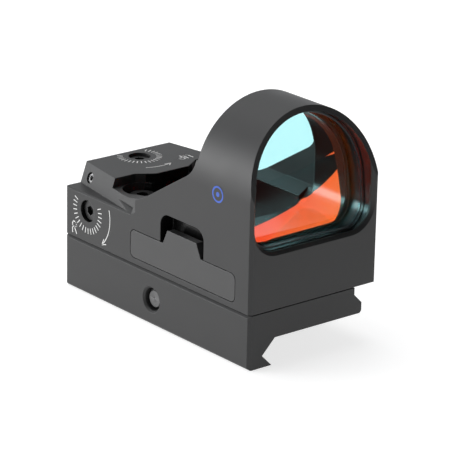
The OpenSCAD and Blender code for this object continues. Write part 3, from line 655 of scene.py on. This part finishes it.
def coated_glass(name, tint, sheen, strength, roughness=0.02):
    made = bpy.data.materials.new(name)
    made.use_nodes = True
    tree = made.node_tree
    tree.nodes.remove(tree.nodes["Principled BSDF"])
    out = tree.nodes["Material Output"]
    through = add(tree, "BsdfTransparent")
    gloss = add(tree, "BsdfGlossy", Roughness=roughness)
    blend = add(tree, "MixShader")
    facing = add(tree, "LayerWeight", Blend=0.5)
    steep = add(tree, "Math", operation="POWER")
    steep.inputs[1].default_value = STEEPNESS
    weak = add(tree, "Math", operation="MULTIPLY_ADD", use_clamp=True)
    weak.inputs[1].default_value = strength
    weak.inputs[2].default_value = HEAD_ON * strength
    through.inputs["Color"].default_value = tint
    place = add(tree, "TexCoord")
    haze = add(tree, "TexNoise", Scale=260.0, Detail=2.0)
    sheen_mix = add(tree, "Mix", data_type="RGBA")
    sheen_mix.inputs[6].default_value = sheen
    sheen_mix.inputs[7].default_value = colour(*(0.8 * c + 0.15 for c in sheen[:3]))
    wire(
        tree,
        (place.outputs["Object"], haze.inputs["Vector"]),
        (haze.outputs[0], sheen_mix.inputs[0]),
        (sheen_mix.outputs[2], gloss.inputs["Color"]),
        (facing.outputs["Facing"], steep.inputs[0]),
        (steep.outputs[0], weak.inputs[0]),
        (weak.outputs[0], blend.inputs[0]),
        (through.outputs[0], blend.inputs[1]),
        (gloss.outputs[0], blend.inputs[2]),
        (blend.outputs[0], out.inputs["Surface"]),
    )
    return made


front_glass = coated_glass("front glass", colour(0.97, 0.99, 0.99), colour(0.10, 0.75, 0.80), 0.25)
rear_glass = coated_glass("rear glass", colour(0.97, 0.99, 0.99), colour(0.25, 0.70, 0.75), 0.2)
red_window = coated_glass("red window", colour(0.55, 0.06, 0.04), colour(0.8, 0.4, 0.4), 1.0, 0.1)
dress(front_glass, "lens_front")
dress(rear_glass, "lens_rear")
dress(red_window, "emitter_window")

# %% [markdown]
# ## Mirror coat
# The lens throws the dot back because one cemented face carries a coat that mirrors red light and
# passes the rest. White things seen through it turn cyan, and white things mirrored in it turn red, or
# orange where the light meets it at a flatter angle. The coat is a sheet with no thickness, so it is
# made here: rings of points that shrink from the window's outline to its middle, each lifted onto the
# coat's sphere.

# %% Lens outline and mesh helpers
CORNER_R = 4.5
LENS_TILT = math.radians(8.5)
LENS_Y = FRONT_Y + 3.1
COAT_R = 68.0
COAT_RIM = 1.4


def arc(centre, radius, start, stop, steps):
    """Points on an arc, with its angles in degrees."""
    angles = [math.radians(start + (stop - start) * i / steps) for i in range(steps + 1)]
    return [(centre[0] + radius * math.cos(a), centre[1] + radius * math.sin(a)) for a in angles]


def window_outline(inset):
    """The window as seen from the front, in mm: round above, flat below, with round corners."""
    corner_x = WINDOW_R - CORNER_R
    corner_z = WINDOW_Z + CORNER_R
    return (
        arc((0, HOOD_Z), WINDOW_R - inset, 0, 180, 64)
        + arc((-corner_x, corner_z), CORNER_R - inset, 180, 270, 16)
        + arc((corner_x, corner_z), CORNER_R - inset, 270, 360, 16)
    )


def make_mesh(name, points, faces, smooth=False):
    """A new object from points in metres and faces."""
    mesh = bpy.data.meshes.new(name)
    mesh.from_pydata(points, [], faces)
    mesh.update()
    for face in mesh.polygons:
        face.use_smooth = smooth
    made = bpy.data.objects.new(name, mesh)
    bpy.context.scene.collection.objects.link(made)
    return made


def on_sphere(flat, radius, rim, forward):
    """Lifts points of the X and Z plane, in mm, onto a lens face with its rim that far into the lens."""
    reach = rim - WINDOW_R**2 / (2 * radius) + radius
    centre = Vector((0, LENS_Y + reach * math.cos(LENS_TILT), HOOD_Z - reach * math.sin(LENS_TILT)))
    points = []
    for x, z in flat:
        depth = math.sqrt(radius**2 - (x - centre.x) ** 2 - (z - centre.z) ** 2)
        points.append(Vector((x, centre.y - depth - forward, z)) * MM)
    return points


def ring_quads(count, rings):
    """Quads that join each ring of points to the next one."""
    return [
        (start + i, start + (i + 1) % count, start + count + (i + 1) % count, start + count + i)
        for start in range(0, (rings - 1) * count, count)
        for i in range(count)
    ]


# %% Mirror coat sheet
FAN_DROP = 1.5  # of the middle point, below the hood's centre


def coat_sheet(inset=0.25, rings=26, forward=0.04):
    """Rings of points from the outline to a middle point, which stands a little below the hood's centre."""
    outline = window_outline(inset)
    middle = Vector((0, HOOD_Z - FAN_DROP))
    shares = [ring / rings for ring in range(rings, 0, -1)]
    flat = [middle + (Vector(p) - middle) * share for share in shares for p in outline]
    flat.append(middle)
    points = on_sphere(flat, COAT_R, COAT_RIM, forward)
    count = len(outline)
    last = (rings - 1) * count
    fan = [(last + i, last + (i + 1) % count, len(points) - 1) for i in range(count)]
    faces = ring_quads(count, rings) + fan
    return make_mesh("mirror_coat", points, faces, smooth=True)


coat = coat_sheet()
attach(coat, "body")
print("mirror coat:", len(coat.data.vertices), "points")

# %% [markdown]
# The coat's shader adds two parts: a clear part that passes most green and blue, and a mirror that
# returns red. The two reds add up to more than 1, which no real coat does, because this room is dimmer
# than a real one where the mirror looks. Facing runs from 0 where the coat is met head on to 1 where it
# is met edge on, and a ramp on it shifts the mirror from red to orange, as an interference coat does.

# %% Mirror coat finish
PASSED = colour(0.50, 0.88, 0.90)
RED = colour(0.84, 0.030, 0.012)
ORANGE = colour(0.88, 0.165, 0.022)


def mirror_coat():
    made = bpy.data.materials.new("red mirror coat")
    made.use_nodes = True
    tree = made.node_tree
    tree.nodes.remove(tree.nodes["Principled BSDF"])
    out = tree.nodes["Material Output"]
    through = add(tree, "BsdfTransparent")
    through.inputs["Color"].default_value = PASSED
    mirror = add(tree, "BsdfGlossy", Roughness=0.015)
    both = add(tree, "AddShader")
    facing = add(tree, "LayerWeight", Blend=0.5)
    ramp = add(tree, "ValToRGB")
    ramp.color_ramp.elements[0].position = 0.12
    ramp.color_ramp.elements[0].color = RED
    ramp.color_ramp.elements[1].position = 0.40
    ramp.color_ramp.elements[1].color = ORANGE
    wire(
        tree,
        (facing.outputs["Facing"], ramp.inputs[0]),
        (ramp.outputs[0], mirror.inputs["Color"]),
        (through.outputs[0], both.inputs[0]),
        (mirror.outputs[0], both.inputs[1]),
        (both.outputs[0], out.inputs["Surface"]),
    )
    return made


coat.data.materials.append(mirror_coat())
print("coat passes", PASSED[:3], "and returns", RED[:3], "to", ORANGE[:3])

# %% [markdown]
# ## Ground rim
# A lens is ground to its outline after polishing, and its sharp edge is broken by a narrow frosted
# bevel. The bevel scatters light, so a thin grey line runs round the glass. It is a ring of quads laid
# on the front face.

# %% Ground rim
FRONT_R = 80.0
BEVEL = ((0.16, 0.01), (0.34, 0.09), (0.52, 0.02))  # inset from the outline and lift off the glass


def rim_ring():
    points = []
    for inset, lift in BEVEL:
        points += on_sphere(window_outline(inset), FRONT_R, 0.0, lift)
    faces = ring_quads(len(points) // len(BEVEL), len(BEVEL))
    return make_mesh("ground_rim", points, faces, smooth=True)


rim = rim_ring()
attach(rim, "body")
rim.data.materials.append(finish(
    "ground glass", colour(0.030, 0.034, 0.036), colour(0.075, 0.080, 0.085), colour(0.10, 0.10, 0.11),
    roughness=0.30, spread=0.12, pit=7000.0, bump=0.2, edge_mm=0.02,
)[0])
print("ground rim:", len(rim.data.polygons), "faces")

# %% [markdown]
# ## Printed dials
# Both adjusters have a ring of ticks and an arrow, printed in white after anodising, with R for right
# and UP for the way that the aim moves. A print is a film about a hundredth of a millimetre thick, so
# each is flat mesh laid on the face and made solid. Every dial is drawn once in its own plane and then
# placed, so both share their code.

# %% Print helpers
PRINT_T = 0.012
PRINT_SUNK = 0.004  # so that the print's back never shows through the face


def solid_print(name, shapes, origin, across, up, body="body"):
    """Flat outlines, in mm in a plane, made into one thin solid that lies on a face."""
    across, up = Vector(across), Vector(up)
    out = across.cross(up)
    points, faces = [], []
    for shape in shapes:
        start, count = len(points), len(shape)
        for level in (-PRINT_SUNK, PRINT_T):
            points += [(Vector(origin) + across * u + up * v + out * level) * MM for u, v in shape]
        top = [start + count + i for i in range(count)]
        faces.append(top)
        faces.append([start + i for i in reversed(range(count))])
        faces += [(start + i, start + (i + 1) % count, top[(i + 1) % count], top[i]) for i in range(count)]
    made = make_mesh(name, points, faces)
    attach(made, body)
    return made


def band(radius, start, stop, width, steps=24):
    """Quads along an arc."""
    inner = arc((0, 0), radius - width / 2, start, stop, steps)
    outer = arc((0, 0), radius + width / 2, start, stop, steps)
    order = 1 if stop < start else -1
    return [[inner[i], inner[i + 1], outer[i + 1], outer[i]][::order] for i in range(steps)]


def tick(radius_in, radius_out, angle, width):
    direction = Vector((math.cos(math.radians(angle)), math.sin(math.radians(angle))))
    side = Vector((-direction.y, direction.x)) * width / 2
    a, b = direction * radius_in, direction * radius_out
    return [tuple(a - side), tuple(b - side), tuple(b + side), tuple(a + side)]


def arrow(radius, start, stop, width=0.16, head=1.15, flare=0.48):
    """An arc with an open arrowhead of two short strokes at its end."""
    turn = 1 if stop > start else -1
    tip = Vector((math.cos(math.radians(stop)), math.sin(math.radians(stop)))) * radius
    along = Vector((-math.sin(math.radians(stop)), math.cos(math.radians(stop)))) * turn
    side = Vector((-along.y, along.x))
    shapes = band(radius, start, stop, width)
    for way in (1, -1):
        root = tip - along * head + side * way * flare
        shapes.append(stroke(root, tip, width))
    return shapes


def stroke(a, b, width):
    """A straight line with square ends, as four corners that run anticlockwise."""
    a, b = Vector(a), Vector(b)
    along = (b - a).normalized() * width / 2
    side = Vector((-along.y, along.x))
    corners = (a - along - side, b + along - side, b + along + side, a - along + side)
    return [tuple(corner) for corner in corners]


# %% Letters from strokes
LETTER_WIDE = 0.56
LETTERS = {
    "R": ([(0, 0), (0, 1), (0.42, 1), (0.56, 0.88), (0.56, 0.66), (0.42, 0.52), (0, 0.52)],
          [(0.28, 0.52), (0.58, 0)]),
    "U": ([(0, 1), (0, 0.22), (0.10, 0.06), (0.28, 0), (0.46, 0.06), (0.56, 0.22), (0.56, 1)],),
    "P": ([(0, 0), (0, 1), (0.42, 1), (0.56, 0.88), (0.56, 0.62), (0.42, 0.48), (0, 0.48)],),
}


def word(text, height, centre, width=0.23, pitch=0.86):
    """Plain sans-serif capitals built from strokes, centred on a point."""
    length = (len(text) - 1) * pitch + LETTER_WIDE
    shapes = []
    for i, letter in enumerate(text):
        for line in LETTERS[letter]:
            places = [
                (centre[0] + (x + i * pitch - length / 2) * height, centre[1] + (z - 0.5) * height)
                for x, z in line
            ]
            shapes += [stroke(a, b, width) for a, b in zip(places, places[1:])]
    return shapes


print("letters with strokes:", ", ".join(LETTERS))

# %% The two dials
TICK_STEP = 12
TICK_WIDTH = 0.17
side_axis = sum(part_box("windage_screw"), Vector()) / 2 / MM
deck_axis = sum(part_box("elevation_screw"), Vector()) / 2 / MM
white_print = finish("white print", colour(0.62, 0.62, 0.61), colour(0.80, 0.80, 0.79),
                     colour(0.45, 0.45, 0.45), roughness=0.55, pit=8000.0, bump=0.15, edge_mm=0.01)[0]
DIALS = {
    "windage_dial": dict(
        origin=(-HALF_W, side_axis.y, side_axis.z), across=(0, -1, 0), up=(0, 0, 1), ring=(3.05, 4.10),
        first_tick=153, ticks=20, arrow=(6.4, 17, -50),
        text=("R", 2.0, (-3.75, -3.9)), text_across=(0, -1, 0), text_up=(0, 0, 1),
    ),
    "elevation_dial": dict(
        origin=(0, deck_axis.y, DECK_Z), across=(1, 0, 0), up=(0, 1, 0), ring=(2.95, 3.95),
        first_tick=142, ticks=22, arrow=(6.5, -118, -71),
        text=("UP", 1.75, (-6.0, 4.95)), text_across=(-1, 0, 0), text_up=(0, -1, 0),
    ),
}
for name, dial in DIALS.items():
    angles = [dial["first_tick"] + i * TICK_STEP for i in range(dial["ticks"])]
    shapes = [tick(*dial["ring"], angle, TICK_WIDTH) for angle in angles] + arrow(*dial["arrow"])
    made = solid_print(name, shapes, dial["origin"], dial["across"], dial["up"])
    made.data.materials.append(white_print)
    letters = solid_print(
        name + "_letter", word(*dial["text"]), dial["origin"], dial["text_across"], dial["text_up"]
    )
    letters.data.materials.append(white_print)
    print(name, len(shapes), "shapes")

# %% [markdown]
# ## Side mark
# A plain blue ring with a dot, printed high on the side wall, stands where a maker would print a badge.

# %% Side mark
blue_print = finish("blue print", colour(0.030, 0.085, 0.42), colour(0.045, 0.12, 0.55),
                    colour(0.05, 0.1, 0.3), roughness=0.5, pit=8000.0, bump=0.15, edge_mm=0.01)[0]
MARK_R, MARK_WIDTH, DOT_R = 1.25, 0.32, 0.42
MARK_AT = (-HALF_W, FRONT_Y + 8.7, HOOD_Z - 0.2)
DOT_STEPS = 24
dot = arc((0, 0), DOT_R, 0, 360 - 360 / DOT_STEPS, DOT_STEPS - 1)
ring = band(MARK_R, 0, 360, MARK_WIDTH, steps=48)
side_mark = solid_print("side_mark", ring + [dot], MARK_AT, (0, -1, 0), (0, 0, 1))
side_mark.data.materials.append(blue_print)
print("side mark:", len(side_mark.data.polygons), "faces")

# %% [markdown]
# ## Camera
# A long lens flattens perspective, which suits a small object. Azimuth and elevation turn the camera
# round a point inside the sight, and a small roll levels the view. Lengths are in mm.

# %% Camera
AZIMUTH, ELEVATION, ROLL = (math.radians(v) for v in (39.60, 19.37, 1.18))
TARGET = Vector((0, -3.25, 15.25))
DISTANCE = 460.7
SLIDE_RIGHT, SLIDE_UP = 0.892, 3.556
SENSOR = 36.0
FOCAL = 219.2
back = Vector((-math.sin(AZIMUTH) * math.cos(ELEVATION), -math.cos(AZIMUTH) * math.cos(ELEVATION),
               math.sin(ELEVATION)))
right = Vector((math.cos(AZIMUTH), -math.sin(AZIMUTH), 0))
level = back.cross(right)
up = level * math.cos(ROLL) - right * math.sin(ROLL)
right = right * math.cos(ROLL) + level * math.sin(ROLL)
camera = bpy.data.objects.new("camera", bpy.data.cameras.new("camera"))
bpy.context.scene.collection.objects.link(camera)
camera.data.lens = FOCAL
camera.data.sensor_width = SENSOR
camera.data.clip_start = 0.01
camera.data.clip_end = 20
camera_at = (TARGET - right * SLIDE_RIGHT - up * SLIDE_UP + back * DISTANCE) * MM
camera.matrix_world = Matrix.Translation(camera_at) @ Matrix((right, up, back)).transposed().to_4x4()
bpy.context.scene.camera = camera
print("camera at", [round(v, 4) for v in camera.matrix_world.translation])

# %% [markdown]
# ## Table and studio
# A white table fills the view behind the sight. Polished and coated parts need something to mirror, so
# the dark end of the room matters as much as the lamps: a black cloth lies on the table in front of the
# sight and hangs behind that. Only mirrored rays meet the cloth, so it darkens the coat's reflection
# and takes no light from the sight. Its near edge is set so that the lens mirrors it as a slanting
# line.

# %% Table and dark cloth
FLOOR_GAP = 0.05 * MM
FLOOR_Z = cad_box[0][2] - FLOOR_GAP
TABLE = 3.0
table = make_mesh("table", [(-TABLE, -TABLE, FLOOR_Z), (TABLE, -TABLE, FLOOR_Z), (TABLE, TABLE, FLOOR_Z),
                            (-TABLE, TABLE, FLOOR_Z)], [(0, 1, 2, 3)])


def studio_material(name, base, glow=0.0):
    made = bpy.data.materials.new(name)
    made.use_nodes = True
    shader = made.node_tree.nodes["Principled BSDF"]
    shader.inputs["Base Color"].default_value = colour(base, base, base)
    shader.inputs["Roughness"].default_value = 0.9
    shader.inputs["Specular IOR Level"].default_value = 0.1
    shader.inputs["Emission Color"].default_value = colour(1, 1, 1)
    shader.inputs["Emission Strength"].default_value = glow
    return made


table.data.materials.append(studio_material("white table", 0.50, glow=0.74))
EDGE_NEAR, EDGE_FAR = Vector((5, -111)), Vector((620, -363))
CLOTH_BACK_Y = -1100
CLOTH_SLANT_X = 900
CLOTH_LEFT_X, CLOTH_RIGHT_X, CLOTH_END_Y = -150, 1500, 200
CLOTH_TOP = 1300
CLOTH_LIFT = 0.4
cloth_z = FLOOR_Z / MM + CLOTH_LIFT
cloth_flat = [
    (*EDGE_NEAR, cloth_z), (*EDGE_FAR, cloth_z),
    (EDGE_FAR.x + CLOTH_SLANT_X, EDGE_FAR.y + CLOTH_BACK_Y, cloth_z), (EDGE_NEAR.x, CLOTH_BACK_Y, cloth_z),
]
cloth_wall = [
    (x, y, z)
    for x, y in ((CLOTH_LEFT_X, CLOTH_BACK_Y), (CLOTH_RIGHT_X, CLOTH_BACK_Y), (CLOTH_RIGHT_X, CLOTH_END_Y))
    for z in (cloth_z, CLOTH_TOP)
]
points = [Vector(p) * MM for p in cloth_flat + cloth_wall]
cloth = make_mesh("dark_cloth", points, [(0, 1, 2, 3), (4, 6, 7, 5), (6, 8, 9, 7)])
cloth.data.materials.append(studio_material("black cloth", 0.008))
cloth.visible_camera = cloth.visible_diffuse = cloth.visible_shadow = cloth.visible_transmission = False

# %% [markdown]
# ## Lamps
# A bright wall stands behind and beside the sight. It fades upwards and towards the front, and is
# brighter on the left. The world's background does that with three ramps on direction. Two large soft
# boxes add shape to the round hood, and a weak one in front keeps the front face from going black. The
# weak one is hidden from mirrored rays, so that it leaves no bright square in the lens.

# %% Lamps
LAMP_AIM = (0, 0, 0.02)


def soft_box(name, at, size, power):
    """A rectangular lamp, placed and sized in metres and measured in watts, that looks at the sight."""
    lamp = bpy.data.lights.new(name, "AREA")
    lamp.shape = "RECTANGLE"
    lamp.size, lamp.size_y = size
    lamp.energy = power
    made = bpy.data.objects.new(name, lamp)
    bpy.context.scene.collection.objects.link(made)
    made.location = at
    made.rotation_euler = (Vector(LAMP_AIM) - Vector(at)).to_track_quat("-Z", "Y").to_euler()
    print(name, "lamp at", at, "with", power, "W")
    return made


soft_box("key", (-0.72, 0.66, 0.22), (0.45, 0.40), 4.2)
soft_box("top", (0.05, 0.30, 0.95), (0.8, 0.6), 5.0)
fill = soft_box("fill", (0.35, -0.75, 0.40), (0.5, 0.5), 0.15)
fill.visible_glossy = False

# %% World
# Each ramp: the part of the direction that it reads, its range, and the brightness at both ends of it
SKY_RAMPS = (
    ("Y", (-0.35, 0.55), (0.12, 1.0)),
    ("Z", (0.25, 0.85), (1.0, 0.36)),
    ("X", (0.75, -0.70), (0.80, 1.55)),
)
world = bpy.data.worlds.new("studio")
bpy.context.scene.world = world
world.use_nodes = True
sky = world.node_tree
direction = add(sky, "TexCoord")
parts = add(sky, "SeparateXYZ")
background = sky.nodes["Background"]
background.inputs["Color"].default_value = colour(0.96, 0.98, 1.0)
wire(sky, (direction.outputs["Generated"], parts.inputs[0]))
brightness = None
for axis, reach, levels in SKY_RAMPS:
    ramp = add(sky, "MapRange", interpolation_type="SMOOTHSTEP", From_Min=reach[0], From_Max=reach[1],
               To_Min=levels[0], To_Max=levels[1])
    wire(sky, (parts.outputs[axis], ramp.inputs["Value"]))
    if brightness is None:
        brightness = ramp.outputs[0]
    else:
        product = add(sky, "Math", operation="MULTIPLY")
        wire(sky, (brightness, product.inputs[0]), (ramp.outputs[0], product.inputs[1]))
        brightness = product.outputs[0]
wire(sky, (brightness, background.inputs["Strength"]))
print("world:", len(SKY_RAMPS), "ramps on direction")
bpy.context.scene.view_settings.view_transform = "Standard"
